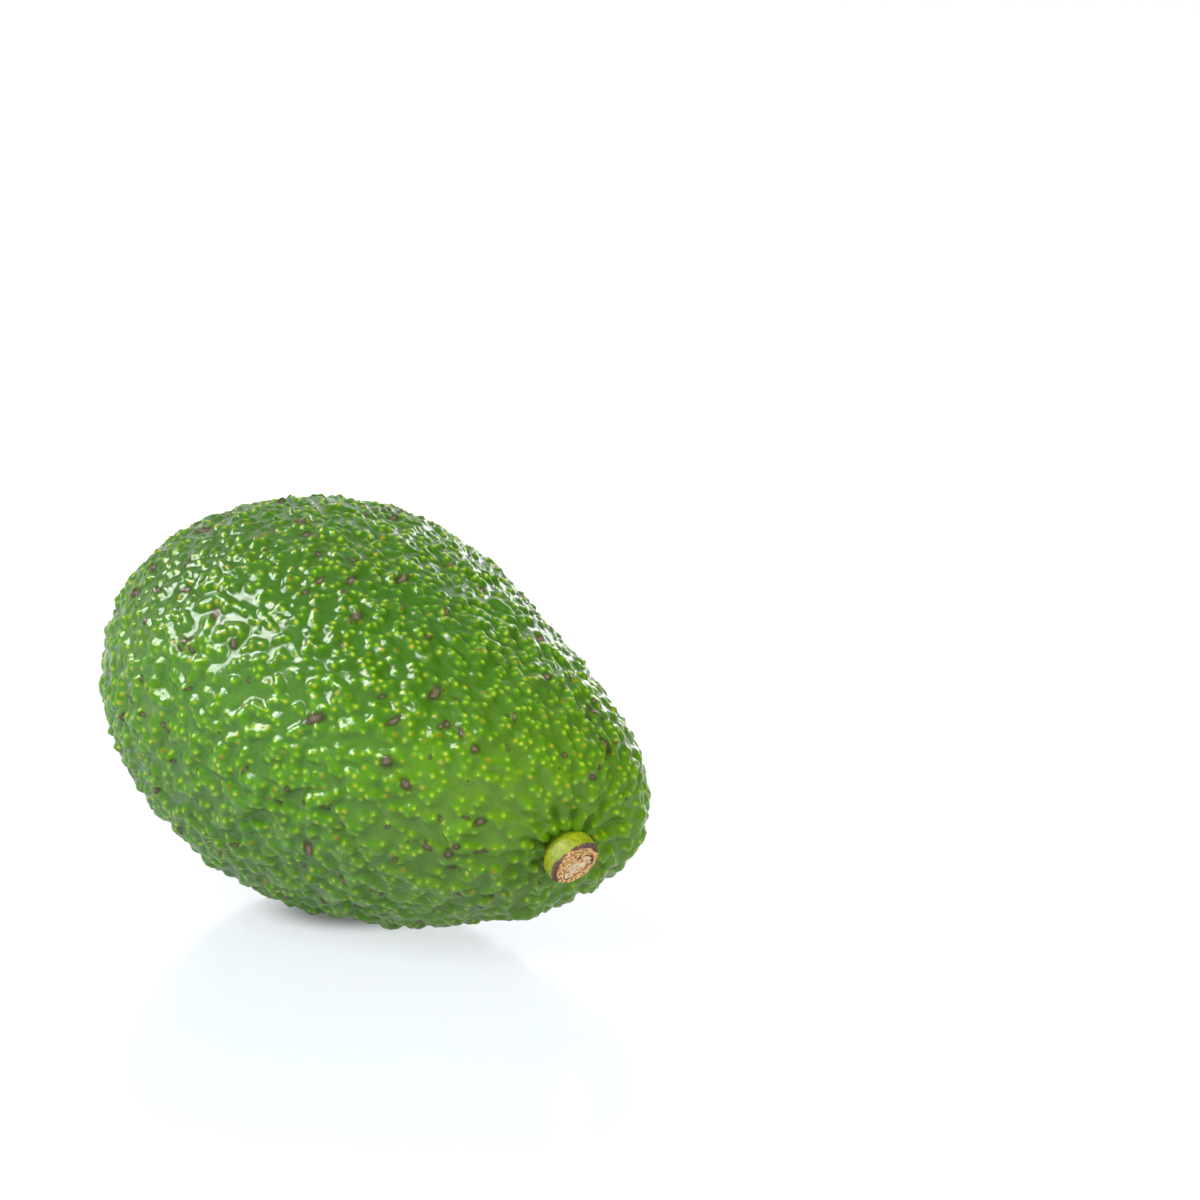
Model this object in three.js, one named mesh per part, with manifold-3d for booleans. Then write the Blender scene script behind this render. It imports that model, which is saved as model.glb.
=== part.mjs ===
// A whole green avocado lying on its side, with the button of its stem still on.
// Millimetres, +Z up. The origin is on the table, under the fruit's centre of mass, in the
// middle of the small flat spot that it rests on. +X runs along the fruit to its stem end.

import * as THREE from "three";
import { ConvexHull } from "three/addons/math/ConvexHull.js";
import { mergeVertices } from "three/addons/utils/BufferGeometryUtils.js";
import Module from "manifold-3d";

// The fruit's body, in its own frame: X is its long axis, with the blossom end at -X
const LENGTH = 100; // blossom end to stem end
const GIRTH_RADIUS = 32; // mean radius half way along
const TAPER = 0.312; // share of that radius that the stem half loses and the blossom half gains
const SHOULDER = 0.197; // share that fills the taper out again towards both ends
const FLATNESS = 0.059; // share by which it is wider than round one way and lower the other
const FLAT_TURN = THREE.MathUtils.degToRad(-13); // how far the wide way is turned from level
const LOBE = 0.037; // share by which three faint lobes round the girth stand out
const LOBE_TURN = THREE.MathUtils.degToRad(35);
const BOW = -1.7; // sideways bow of the middle
const SWAY = -6.9; // sideways sway, one way in the stem half and the other way in the blossom half
const SWELL = 0.22; // height of the slow, uneven swellings under the skin
const SWELL_WAVES = [
  [0.11, 0.17, -0.05, 1],
  [-0.07, 0.09, 0.21, 3],
  [0.19, -0.12, 0.1, 5],
]; // each as its run along X, Y and Z in radians a millimetre, and its start

// How it lies
const TILT = THREE.MathUtils.degToRad(10.3); // the stem end is this much lower
const REST_CUT = 0.8; // how far the skin is pressed flat where it rests

// The pebbled skin: each pebble is one raised point in a ring of low ones
const PEBBLES = 1500;
const PEBBLE_RISE = 0.6;
const PEBBLE_UNEVEN = 0.3; // share by which a pebble is higher or lower than that
const VALLEY_DROP = 0.35;
const PEBBLE_STRAY = 0.3; // how far a pebble strays from its even place, in pebble widths
const FINE_REACH = 12; // near the stem, within this distance, pebbles are finer
const FINE_TIMES = 4; // so many times as many
const FINE_RISE = 0.45; // share of a coarse pebble's height
const SEED = 7;

// The stem: a button with a rounded collar, and a root that is sunk in the fruit
const STEM_POLAR = THREE.MathUtils.degToRad(18.3); // its place, as an angle from the long axis
const STEM_ROUND = THREE.MathUtils.degToRad(201.2); // and an angle round that axis
const STEM_POINTS_POLAR = THREE.MathUtils.degToRad(22.4); // the way it points, in the same two angles
const STEM_POINTS_ROUND = THREE.MathUtils.degToRad(232);
const STEM_RADIUS = 4;
const STEM_RISE = 2.8; // how far the cut face stands out
const STEM_ROOT = 5.5; // depth of the root
const STEM_SLANT = 0.06; // slope of the cut face, rise over run
const STEM_LOW_SIDE = new THREE.Vector3(0, 1, -1); // the side to which the cut face slopes down
const STEM_OVAL = 0.05; // share by which the button is wider than round
const STEM_DENT = 0.12; // share by which the cut face is dented on its high side
const DENT_WIDTH = 0.6; // half the width of that dent, in radians round the stem
const STEM_NECK = 0.68; // radius of the root, as a share of the button's
const STEM_SIDES = 36;
const GAP = 0.3; // clear space between the root and its socket
const SOCKET_TOP = 8; // height to which the socket is cut, clear of the skin
const PIT_DEPTH = 1.1; // the hollow that the button sits in
const PIT_RADIUS = 6.5;
const PLEATS = 13; // folds of skin that run into the pit
const PLEAT_DEPTH = 0.5;
const PLEAT_STRAY = 0.7; // how far the folds stray from even places, in radians of a fold's own wave
const PLEAT_REACH = 1.7; // how far out the folds run, in pit radii
const DEEP_SIDE = THREE.MathUtils.degToRad(55); // the folds are deepest on this side of the stem
const DEEPER = 0.5; // share by which they are deeper there

// A repeatable stream of numbers from 0 to 1
function randomStream(seed) {
  let state = seed;
  return () => {
    state = (Math.imul(state, 1664525) + 1013904223) >>> 0;
    return state / 2 ** 32;
  };
}

// Radius of the plain round body at u, which runs from -1 at the blossom end to 1 at the stem end
function girth(u) {
  return GIRTH_RADIUS * Math.sqrt(Math.max(1 - u * u, 0)) * (1 - TAPER * u + SHOULDER * u ** 3);
}

// A point of the smooth body, at u along its axis and the angle round it
function bodyPoint(u, round) {
  const fullness = Math.sqrt(Math.max(1 - u * u, 0));
  const flat = FLATNESS * Math.cos(2 * (round - FLAT_TURN));
  const lobes = LOBE * fullness * Math.cos(3 * (round - LOBE_TURN));
  const radius = girth(u) * (1 + flat + lobes);
  const aside = (BOW + SWAY * u) * fullness ** 2;
  return new THREE.Vector3((LENGTH / 2) * u, radius * Math.cos(round) + aside, radius * Math.sin(round));
}

// The outward normal of the smooth body there
function bodyNormal(u, round) {
  const polar = Math.acos(THREE.MathUtils.clamp(u, -0.9995, 0.9995));
  const step = 1e-3;
  const along = bodyPoint(Math.cos(polar + step), round).sub(bodyPoint(Math.cos(polar - step), round));
  const across = bodyPoint(Math.cos(polar), round + step).sub(bodyPoint(Math.cos(polar), round - step));
  return along.cross(across).normalize();
}

// Tables along the body: area passed so far, and the latitude that keeps small shapes true when
// the skin is wrapped on a ball, so that a net laid on the ball is even on the fruit
function latitudeTables(steps) {
  const rows = [{ u: -1, area: 0, latitude: -8 }];
  let [area, latitude] = [0, 0];
  for (let i = 1; i < steps; i += 1) {
    const [u0, u1] = [-Math.cos((Math.PI * (i - 1)) / steps), -Math.cos((Math.PI * i) / steps)];
    const [r0, r1] = [girth(u0), girth(u1)];
    const arc = Math.hypot((LENGTH / 2) * (u1 - u0), r1 - r0);
    area += ((r0 + r1) / 2) * arc;
    if (i > 1) latitude += (2 * arc) / (r0 + r1);
    rows.push({ u: u1, area, latitude });
  }
  rows.push({ u: 1, area, latitude: 8 });
  const middle = rows[steps / 2].latitude;
  rows.slice(1, -1).forEach((row) => (row.latitude -= middle));
  return rows;
}

const tables = latitudeTables(2000);

// The value of one column where another has the value given
function lookUp(value, from, to) {
  let [low, high] = [0, tables.length - 1];
  while (high - low > 1) {
    const half = (low + high) >> 1;
    if (tables[half][from] <= value) low = half;
    else high = half;
  }
  const [a, b] = [tables[low], tables[high]];
  return THREE.MathUtils.lerp(a[to], b[to], (value - a[from]) / (b[from] - a[from] || 1));
}

// The place on the ball of a place on the fruit, and back
function toBall({ u, round }) {
  const height = Math.tanh(lookUp(u, "u", "latitude"));
  const width = Math.sqrt(1 - height ** 2);
  return new THREE.Vector3(height, width * Math.cos(round), width * Math.sin(round));
}

function fromBall(point) {
  const height = THREE.MathUtils.clamp(point.x / point.length(), -0.99999, 0.99999);
  return { u: lookUp(Math.atanh(height), "latitude", "u"), round: Math.atan2(point.z, point.y) };
}

// An even spiral of pebbles over the skin, with each one pushed a little off its place
function pebbleSpiral(count, rise, random) {
  const either = () => 2 * random() - 1;
  const goldenTurn = Math.PI * (3 - Math.sqrt(5));
  const area = tables.at(-1).area;
  const stray = PEBBLE_STRAY * Math.sqrt((2 * Math.PI * area) / count);
  return Array.from({ length: count }, (_, i) => {
    const u = lookUp((area * (i + 0.5)) / count, "area", "u");
    return {
      u: Math.cos(Math.acos(u) + (either() * stray) / (LENGTH / 2)),
      round: i * goldenTurn + (either() * stray) / girth(u),
      height: rise * (1 + PEBBLE_UNEVEN * either()),
    };
  });
}

// All the pebbles: coarse ones over the fruit, and finer ones near the stem
function pebbleTops() {
  const random = randomStream(SEED);
  const nearStem = ({ u, round }) => bodyPoint(u, round).distanceTo(stemFoot) < FINE_REACH;
  const coarse = pebbleSpiral(PEBBLES, PEBBLE_RISE, random);
  const fine = pebbleSpiral(PEBBLES * FINE_TIMES, PEBBLE_RISE * FINE_RISE, random);
  return [...coarse.filter((pebble) => !nearStem(pebble)), ...fine.filter(nearStem)];
}

// The even net that joins the pebbles: the triangles of their convex hull on the ball
function pebbleNet(balls) {
  const index = new Map(balls.map((point, i) => [point, i]));
  return new ConvexHull().setFromPoints(balls).faces.map((face) => {
    const start = face.edge;
    return [start, start.next, start.next.next].map((edge) => index.get(edge.head().point));
  });
}

// Each pebble as a fan of triangles: its top, and the low corners in the net's triangles round it
function pebbleFans(net, cornerOf) {
  const triangleAt = new Map();
  const eachSide = (visit) =>
    net.forEach((triangle, t) => triangle.forEach((from, k) => visit(from, triangle[(k + 1) % 3], t)));
  eachSide((from, to, t) => triangleAt.set(`${from} ${to}`, t));
  const fans = [];
  eachSide((from, to, t) => fans.push(from, cornerOf(triangleAt.get(`${to} ${from}`)), cornerOf(t)));
  return fans;
}

// Slow, uneven swellings of the flesh under the skin
function swelling(point) {
  const wave = ([x, y, z, start]) => Math.sin(point.x * x + point.y * y + point.z * z + start);
  return (SWELL * SWELL_WAVES.reduce((sum, run) => sum + wave(run), 0)) / 2;
}

// The stem's own frame: its foot on the smooth body, and the way it points
const stemFoot = bodyPoint(Math.cos(STEM_POLAR), STEM_ROUND);
const stemAxis = new THREE.Vector3(
  Math.cos(STEM_POINTS_POLAR),
  Math.sin(STEM_POINTS_POLAR) * Math.cos(STEM_POINTS_ROUND),
  Math.sin(STEM_POINTS_POLAR) * Math.sin(STEM_POINTS_ROUND),
);

// How far the skin dips into the pit and the pleats round the stem
function pitDrop(point) {
  const offset = point.clone().sub(stemFoot);
  const distance = offset.length() / PIT_RADIUS;
  const turn = Math.atan2(offset.z, offset.y);
  const wave = (1 + Math.cos(PLEATS * turn + PLEAT_STRAY * Math.sin(2 * turn))) ** 2 / 2;
  const depth = PLEAT_DEPTH * (1 + DEEPER * Math.cos(turn - DEEP_SIDE));
  const reach = Math.exp(-((distance / PLEAT_REACH) ** 4));
  const folds = depth * wave * distance * Math.exp(1 - distance) * reach;
  return PIT_DEPTH * Math.exp(-(distance ** 2)) + folds;
}

// Height of a point of the body over the level of the body's own middle, once the fruit lies tilted
function lyingHeight(point) {
  return point.z * Math.cos(TILT) - point.x * Math.sin(TILT);
}

// The table's height, a little over the smooth body's lowest point
function tableHeight(steps) {
  let lowest = Infinity;
  for (let i = 1; i < steps; i += 1) {
    const u = Math.cos((Math.PI * i) / steps);
    for (let k = 0; k < steps; k += 1) {
      lowest = Math.min(lowest, lyingHeight(bodyPoint(u, (2 * Math.PI * k) / steps)));
    }
  }
  return lowest + REST_CUT;
}

const table = tableHeight(360);

// A point of the pebbled skin: the smooth body, raised or lowered along its normal. Relief fades
// out round the spot that it rests on, so that the spot has a clean edge
function skinPoint({ u, round, height }) {
  const point = bodyPoint(u, round);
  const clear = THREE.MathUtils.smoothstep(lyingHeight(point) - table, 0, 2 * REST_CUT);
  const lift = (height + swelling(point)) * clear - pitDrop(point);
  return point.addScaledVector(bodyNormal(u, round), lift);
}

// The whole skin as one closed net of pebble tops and the low corners between them
function skinGeometry() {
  const tops = pebbleTops();
  const balls = tops.map(toBall);
  const net = pebbleNet(balls);
  const corners = net.map((triangle) => {
    const middle = triangle.reduce((sum, i) => sum.add(balls[i]), new THREE.Vector3());
    return { ...fromBall(middle), height: -VALLEY_DROP };
  });
  const fans = pebbleFans(net, (t) => tops.length + t);
  return new THREE.BufferGeometry().setFromPoints([...tops, ...corners].map(skinPoint)).setIndex(fans);
}

// Outline of the stem, from the tip of its root up the side, over the collar and in to the middle
function stemOutline() {
  const neck = STEM_RADIUS * STEM_NECK;
  const side = new THREE.CatmullRomCurve3(
    [
      [0, -STEM_ROOT],
      [neck * 0.6, -STEM_ROOT + 0.6],
      [neck, -STEM_ROOT * 0.5],
      [neck * 1.12, -PIT_DEPTH - 0.4],
      [STEM_RADIUS * 0.9, -PIT_DEPTH + 0.5],
      [STEM_RADIUS, 0.2],
      [STEM_RADIUS, STEM_RISE * 0.6],
      [STEM_RADIUS * 0.92, STEM_RISE],
    ].map(([radius, height]) => new THREE.Vector3(radius, height, 0)),
  );
  const face = [
    [0.78, 0.97],
    [0.6, 0.92],
    [0.4, 0.96],
    [0.2, 0.92],
    [0, 0.92],
  ].map(([radius, height]) => new THREE.Vector2(STEM_RADIUS * radius, STEM_RISE * height));
  return [...side.getPoints(16).map((p) => new THREE.Vector2(p.x, p.y)), ...face];
}

// The stem as a turned shape, made a little oval, with its outer part sheared to a slanted cut and
// dented on the cut's high side
function stemGeometry() {
  const geometry = new THREE.LatheGeometry(stemOutline(), STEM_SIDES).rotateX(Math.PI / 2);
  const position = geometry.getAttribute("position");
  for (let i = 0; i < position.count; i += 1) {
    const [x, y, z] = [position.getX(i), position.getY(i), position.getZ(i)];
    const share = THREE.MathUtils.smoothstep(z, 0, STEM_RISE);
    const oval = THREE.MathUtils.smoothstep(z, -PIT_DEPTH, 0) * STEM_OVAL;
    const width = 1 - STEM_DENT * share * Math.exp(-((Math.atan2(y, -x) / DENT_WIDTH) ** 2));
    position.setXYZ(i, x * (1 - oval) * width, y * (1 + oval) * width, z - STEM_SLANT * x * share);
  }
  return geometry;
}

// The space that the stem takes up in the fruit, larger by the gap all round
function socketGeometry() {
  const wide = STEM_RADIUS * (1 + STEM_OVAL) + GAP;
  const side = stemOutline().filter((point) => point.y < 0);
  const outline = side.map((point) => new THREE.Vector2(Math.min(point.x + GAP, wide), point.y - GAP));
  const bottom = new THREE.Vector2(0, -STEM_ROOT - GAP);
  const top = [
    new THREE.Vector2(wide, 0),
    new THREE.Vector2(wide, SOCKET_TOP),
    new THREE.Vector2(0, SOCKET_TOP),
  ];
  return new THREE.LatheGeometry([bottom, ...outline, ...top], STEM_SIDES).rotateX(Math.PI / 2);
}

// A closed geometry as a solid that can be cut, and back
const wasm = await Module();
wasm.setup();

function toSolid(geometry) {
  const bare = new THREE.BufferGeometry();
  bare.setAttribute("position", geometry.getAttribute("position"));
  if (geometry.index) bare.setIndex(geometry.index);
  const merged = mergeVertices(bare, 1e-4);
  return new wasm.Manifold(
    new wasm.Mesh({
      numProp: 3,
      vertProperties: new Float32Array(merged.getAttribute("position").array),
      triVerts: new Uint32Array(merged.index.array),
    }),
  );
}

function toGeometry(solid) {
  const { vertProperties, triVerts } = solid.getMesh();
  return new THREE.BufferGeometry()
    .setAttribute("position", new THREE.BufferAttribute(vertProperties, 3))
    .setIndex(new THREE.BufferAttribute(triVerts, 1));
}

// Centre of mass of a closed net of triangles
function centreOfMass(geometry) {
  const { position } = geometry.attributes;
  const corner = (i) => new THREE.Vector3().fromBufferAttribute(position, geometry.index.getX(i));
  const sum = new THREE.Vector3();
  let volume = 0;
  for (let i = 0; i < geometry.index.count; i += 3) {
    const [a, b, c] = [corner(i), corner(i + 1), corner(i + 2)];
    const share = a.dot(b.clone().cross(c)) / 6;
    volume += share;
    sum.addScaledVector(a.add(b).add(c), share / 4);
  }
  return sum.divideScalar(volume);
}

// Lays a group down: tilted, with the centre of mass over the origin, on the table
function layDown(group, skin) {
  group.rotation.y = TILT;
  group.updateMatrix();
  const centre = centreOfMass(skin).applyMatrix4(group.matrix);
  group.position.set(-centre.x, -centre.y, -table);
  group.updateMatrix();
}

const skinMaterial = new THREE.MeshStandardMaterial({ color: 0x4c8a2c, roughness: 0.35, metalness: 0 });
const stemMaterial = new THREE.MeshStandardMaterial({ color: 0x9a8a3a, roughness: 0.6, metalness: 0 });

// The stem stands in its socket, turned so that the low side of its cut faces down the fruit
const stem = new THREE.Mesh(stemGeometry(), stemMaterial);
stem.name = "stem";
const across = new THREE.Vector3().crossVectors(stemAxis, STEM_LOW_SIDE).normalize();
const lowSide = new THREE.Vector3().crossVectors(across, stemAxis);
stem.quaternion.setFromRotationMatrix(new THREE.Matrix4().makeBasis(lowSide, across, stemAxis));
stem.position.copy(stemFoot);
stem.updateMatrix();

// The fruit is the skin's solid, less the stem's socket and what the table presses flat
const lying = new THREE.Group();
const skin = skinGeometry();
layDown(lying, skin);
const underTable = new THREE.BoxGeometry(2 * LENGTH, 2 * LENGTH, LENGTH)
  .translate(0, 0, -LENGTH / 2)
  .applyMatrix4(lying.matrix.clone().invert());
const socket = socketGeometry().applyMatrix4(stem.matrix);
const fruit = new THREE.Mesh(
  toGeometry(toSolid(skin).subtract(toSolid(socket)).subtract(toSolid(underTable))),
  skinMaterial,
);
fruit.name = "fruit";

lying.add(fruit, stem);
const avocado = new THREE.Group();
avocado.add(lying);

export default avocado;
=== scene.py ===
# %% [markdown]
# A green avocado on a pale table
#
# The imported model is loaded first, as a fixed frame. It has two pieces: the fruit, with coarse
# faceted pebbles, and the button of its stem. Everything below is built round it, in metres.

import math

import bpy
import numpy as np
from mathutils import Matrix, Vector, kdtree


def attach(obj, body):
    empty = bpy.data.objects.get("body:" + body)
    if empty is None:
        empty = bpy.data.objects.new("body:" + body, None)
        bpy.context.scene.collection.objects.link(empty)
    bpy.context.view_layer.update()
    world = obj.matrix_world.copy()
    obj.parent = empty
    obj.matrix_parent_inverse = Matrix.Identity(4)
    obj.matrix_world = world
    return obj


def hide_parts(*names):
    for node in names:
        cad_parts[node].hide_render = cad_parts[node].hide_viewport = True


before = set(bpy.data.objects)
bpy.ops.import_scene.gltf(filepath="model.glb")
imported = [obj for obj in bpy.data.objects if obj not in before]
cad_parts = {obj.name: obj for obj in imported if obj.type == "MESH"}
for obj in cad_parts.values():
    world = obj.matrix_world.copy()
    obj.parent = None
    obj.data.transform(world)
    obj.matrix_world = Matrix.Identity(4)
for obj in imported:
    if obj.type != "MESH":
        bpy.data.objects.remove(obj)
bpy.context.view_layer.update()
MM = 0.001
print("frame holds", sorted(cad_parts))

# %% [markdown]
# The camera
#
# The fruit is seen from its stem end's side, from a little above the table. It could be framed by
# eye, but a long lens far away has only a few numbers, so they are written down: where the camera
# stands, seen from the spot that the fruit rests on, and where that spot falls in the picture. The
# camera is turned until it does, with no lens shift, so that other views stay centred.

# %% Place the camera
PICTURE = 1200  # pixels along each side
SENSOR = 36.0
FOCAL_PIXELS = 4092
CAMERA_DISTANCE = 641 * MM
CAMERA_ROUND = math.radians(44)
CAMERA_UP = math.radians(14.3)
SPOT_IN_PICTURE = (356, 908)


def camera_axes():
    """Right, up and back of a level camera that looks straight at the origin."""
    right = Vector((math.cos(CAMERA_ROUND), math.sin(CAMERA_ROUND), 0))
    back = Vector((math.sin(CAMERA_ROUND) * math.cos(CAMERA_UP),
                   -math.cos(CAMERA_ROUND) * math.cos(CAMERA_UP),
                   math.sin(CAMERA_UP)))
    return right, back.cross(right), back


def seen(right, up, back):
    """A direction given along the camera's axes, in the frame's axes."""
    axes = camera_axes()
    return (axes[0] * right + axes[1] * up + axes[2] * back).normalized()


def add_camera():
    data = bpy.data.cameras.new("view")
    data.sensor_width = SENSOR
    data.lens = SENSOR * FOCAL_PIXELS / PICTURE
    camera = bpy.data.objects.new("view", data)
    bpy.context.scene.collection.objects.link(camera)
    camera.location = camera_axes()[2] * CAMERA_DISTANCE
    half = PICTURE / 2
    x, y = SPOT_IN_PICTURE
    to_spot = Vector((x - half, half - y, -FOCAL_PIXELS)).normalized()
    turn = to_spot.rotation_difference(Vector((0, 0, -1)))
    camera.rotation_mode = "QUATERNION"
    camera.rotation_quaternion = (-camera.location).to_track_quat("-Z", "Y") @ turn
    bpy.context.scene.camera = camera
    return camera


camera = add_camera()
print("camera lens", round(camera.data.lens, 1), "mm at", [round(c, 3) for c in camera.location])

# %% [markdown]
# Shader maths
#
# A skin that changes all over its surface needs a lot of sums: distances, masks and mixes. Laid out
# as nodes by hand they are hard to follow. This small class wraps one socket, so that a sum can be
# written as Python and each operator adds the Math node that does it. Anything else, such as a noise
# or a ramp, comes from one method that takes the node's type, its settings and its inputs.


# %% Wrap shader sockets
class Socket:
    """One output socket of a node tree, on which Python's operators add Math nodes."""

    def __init__(self, tree, output=None):
        self.tree = tree
        self.output = output

    def feed(self, socket, value):
        """Links a wrapped socket to an input, or sets the input to a value."""
        if isinstance(value, Socket):
            self.tree.links.new(value.output, socket)
        else:
            socket.default_value = value

    def node(self, kind, settings=None, inputs=None, output=0):
        """Adds a node of a type, with its settings set first and then its inputs, by name or number."""
        made = self.tree.nodes.new("ShaderNode" + kind)
        for name, value in (settings or {}).items():
            if name == "stops":
                self.set_stops(made.color_ramp, value)
            else:
                setattr(made, name, value)
        for key, value in (inputs or {}).items():
            self.feed(made.inputs[key], value)
        return Socket(self.tree, made.outputs[output])

    @staticmethod
    def set_stops(ramp, stops):
        while len(ramp.elements) < len(stops):
            ramp.elements.new(0.5)
        for element, (position, colour) in zip(ramp.elements, stops):
            element.position = position
            element.color = colour

    def maths(self, operation, *values):
        return self.node("Math", {"operation": operation}, dict(enumerate(values)))

    def __add__(self, other):
        return self.maths("ADD", self, other)

    def __sub__(self, other):
        return self.maths("SUBTRACT", self, other)

    def __rsub__(self, other):
        return self.maths("SUBTRACT", other, self)

    def __mul__(self, other):
        return self.maths("MULTIPLY", self, other)

    def __truediv__(self, other):
        return self.maths("DIVIDE", self, other)

    def __pow__(self, other):
        return self.maths("POWER", self, other)

    __radd__ = __add__
    __rmul__ = __mul__

    def ease(self, low, high):
        """0 below low and 1 above high, smooth between; the other way round where high is less."""
        ends = {"From Min": low, "From Max": high} if low < high else {"From Min": high, "From Max": low}
        eased = self.node("MapRange", {"interpolation_type": "SMOOTHSTEP"}, {"Value": self, **ends})
        return eased if low < high else 1 - eased

    def mix(self, first, second, share):
        """Mixes two colours by a share: 0 gives the first, 1 the second."""
        return self.node("Mix", {"data_type": "RGBA"}, {0: share, 6: first, 7: second}, output=2)

    def noise(self, scale, detail=3.0, roughness=0.5, vector=None):
        """A cloud of soft noise from 0 to 1, scale features a metre."""
        inputs = {"Scale": scale, "Detail": detail, "Roughness": roughness}
        if vector is not None:
            inputs["Vector"] = vector
        return self.node("TexNoise", {}, inputs)

    def attribute(self, name, output="Fac"):
        return self.node("Attribute", {"attribute_name": name}, output=output)


def paint(red, green, blue):
    """A colour from the 0 to 255 numbers of a paint chart, as the linear light that a shader uses."""
    linear = [((c / 255 + 0.055) / 1.055) ** 2.4 for c in (red, green, blue)]
    return (*linear, 1.0)


def new_material(name):
    """A material with its Principled shader, and a wrapped tree to build on."""
    material = bpy.data.materials.new(name)
    material.use_nodes = True
    shader = material.node_tree.nodes["Principled BSDF"]
    return material, shader, Socket(material.node_tree)


print("shader maths ready")

# %% [markdown]
# The table
#
# The fruit lies on glossy white acrylic, which fades into a white background. A curved backdrop
# could do that, but one wide plane that glows does for both, with a faint reflection of the fruit
# in it. Right under the fruit its glow is dimmed into a painted contact shadow, and it lights the
# fruit less strongly than it shows.

# %% Lay the table
TABLE_SIZE = 8.0
TABLE_DROP = 0.02 * MM  # keeps the table off the fruit's flat underside
PAINTED_SHADOW_GLOW = 0.15  # painted contact shadow: the glow is dimmed to this right under the fruit
NEAR_GLOW = 0.66  # round it
FAR_GLOW = 1.0  # and far behind it, where it fades into the white background
BOUNCE = 0.7  # share of that glow that lights the fruit from below


def add_table():
    half = TABLE_SIZE / 2
    mesh = bpy.data.meshes.new("table")
    corners = [(-half, -half, 0), (half, -half, 0), (half, half, 0), (-half, half, 0)]
    mesh.from_pydata(corners, [], [(0, 1, 2, 3)])
    table = bpy.data.objects.new("table", mesh)
    table.location.z = -TABLE_DROP
    bpy.context.scene.collection.objects.link(table)
    material, shader, tree = new_material("white acrylic")
    shader.inputs["Base Color"].default_value = (0.24, 0.262, 0.285, 1)
    shader.inputs["Roughness"].default_value = 0.16
    shader.inputs["Specular IOR Level"].default_value = 0.35
    place = tree.node("TexCoord", output="Object")
    from_fruit = tree.node("VectorMath", {"operation": "LENGTH"}, {0: place}, output="Value")
    near = (NEAR_GLOW * 0.985, NEAR_GLOW, NEAR_GLOW * 1.06, 1)
    # painted contact shadow: the floor's glow is dimmed right under the fruit, then rises round it to white
    # far away
    glow_with_painted_shadow = tree.mix((PAINTED_SHADOW_GLOW,) * 3 + (1,), near, from_fruit.ease(0.006, 0.017))
    glow_with_painted_shadow = tree.mix(glow_with_painted_shadow, (FAR_GLOW,) * 3 + (1,), from_fruit.ease(0.05, 0.45))
    tree.feed(shader.inputs["Emission Color"], glow_with_painted_shadow)
    shown = tree.node("LightPath", output="Is Camera Ray")
    tree.feed(shader.inputs["Emission Strength"], BOUNCE + (1 - BOUNCE) * shown)
    mesh.materials.append(material)


add_table()
print("table laid,", TABLE_SIZE, "m across")

# %% [markdown]
# The light
#
# A waxy, wet-looking skin needs two kinds of light that one lamp can't give at once. Wide lamps show
# the skin's colour, but their mirror image would lay a grey haze over the green. So three soft lamps
# only light the skin: the key from the upper left, a fill from the right and a weak one from above.
# Three others are only mirrored in it: one for the glints on the ridges, one for small sparks on
# single warts, and one along the far edge. The white surroundings light the rest.

# %% Hang the lights
BACKGROUND = 1.0
AMBIENT = 0.48
DARK_SIDE = 0.05  # what is mirrored from the camera's side of the room
FRUIT_MIDDLE = 32 * MM  # the height that the lamps face


def add_lamp(name, direction, distance, size, power):
    """A square softbox that faces the fruit, from a direction along the camera's axes."""
    data = bpy.data.lights.new(name, "AREA")
    data.size = size
    data.energy = power
    lamp = bpy.data.objects.new(name, data)
    bpy.context.scene.collection.objects.link(lamp)
    middle = Vector((0, 0, FRUIT_MIDDLE))
    lamp.location = middle + seen(*direction) * distance
    lamp.rotation_mode = "QUATERNION"
    lamp.rotation_quaternion = (middle - lamp.location).to_track_quat("-Z", "Y")
    return lamp


def add_world():
    """White where it is seen, weaker as light, and mirrored white only from behind the fruit."""
    world = bpy.data.worlds.new("studio")
    world.use_nodes = True
    bpy.context.scene.world = world
    tree = Socket(world.node_tree)
    shown = tree.node("LightPath", output="Is Camera Ray")
    mirrored = tree.node("LightPath", output="Is Glossy Ray")
    direction = tree.node("TexCoord", output="Generated")
    behind = tree.node("VectorMath", {"operation": "DOT_PRODUCT"},
                       {0: direction, 1: seen(0, 0.15, -1)}, output="Value")
    mirror = DARK_SIDE + (BACKGROUND - DARK_SIDE) * behind.ease(0.45, 0.9)
    light = mirror * mirrored + AMBIENT * (1 - mirrored)
    background = world.node_tree.nodes["Background"]
    background.inputs["Color"].default_value = (1, 1, 1, 1)
    tree.feed(background.inputs["Strength"], BACKGROUND * shown + light * (1 - shown))
    world.cycles.sampling_method = "NONE"  # so that gloss is lit only by rays that are told apart


key = add_lamp("key", (-0.6, 0.6, 0.75), 0.75, 0.55, 6.3)
fill = add_lamp("fill", (0.75, 0.2, 0.6), 0.9, 0.4, 3.6)
top = add_lamp("top", (0.2, 1.0, -0.3), 0.8, 0.5, 0.3)
for lamp in (key, fill, top):
    lamp.visible_glossy = False  # they light the skin without a haze on the gloss
glints = add_lamp("glints", (-0.9, 0.85, 0.2), 0.75, 0.42, 11.0)
sparks = add_lamp("sparks", (-0.6, 0.65, 0.7), 0.75, 0.16, 1.3)
rim = add_lamp("rim", (0.5, 0.6, -1.0), 0.8, 0.25, 1.1)
for lamp in (glints, sparks, rim):
    lamp.visible_diffuse = False  # only mirrored: in wet ridges, on single warts and along the far edge
add_world()
bpy.context.scene.view_settings.view_transform = "Standard"
print("lamps", [lamp.name for lamp in (key, fill, top, glints, sparks, rim)])

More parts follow.
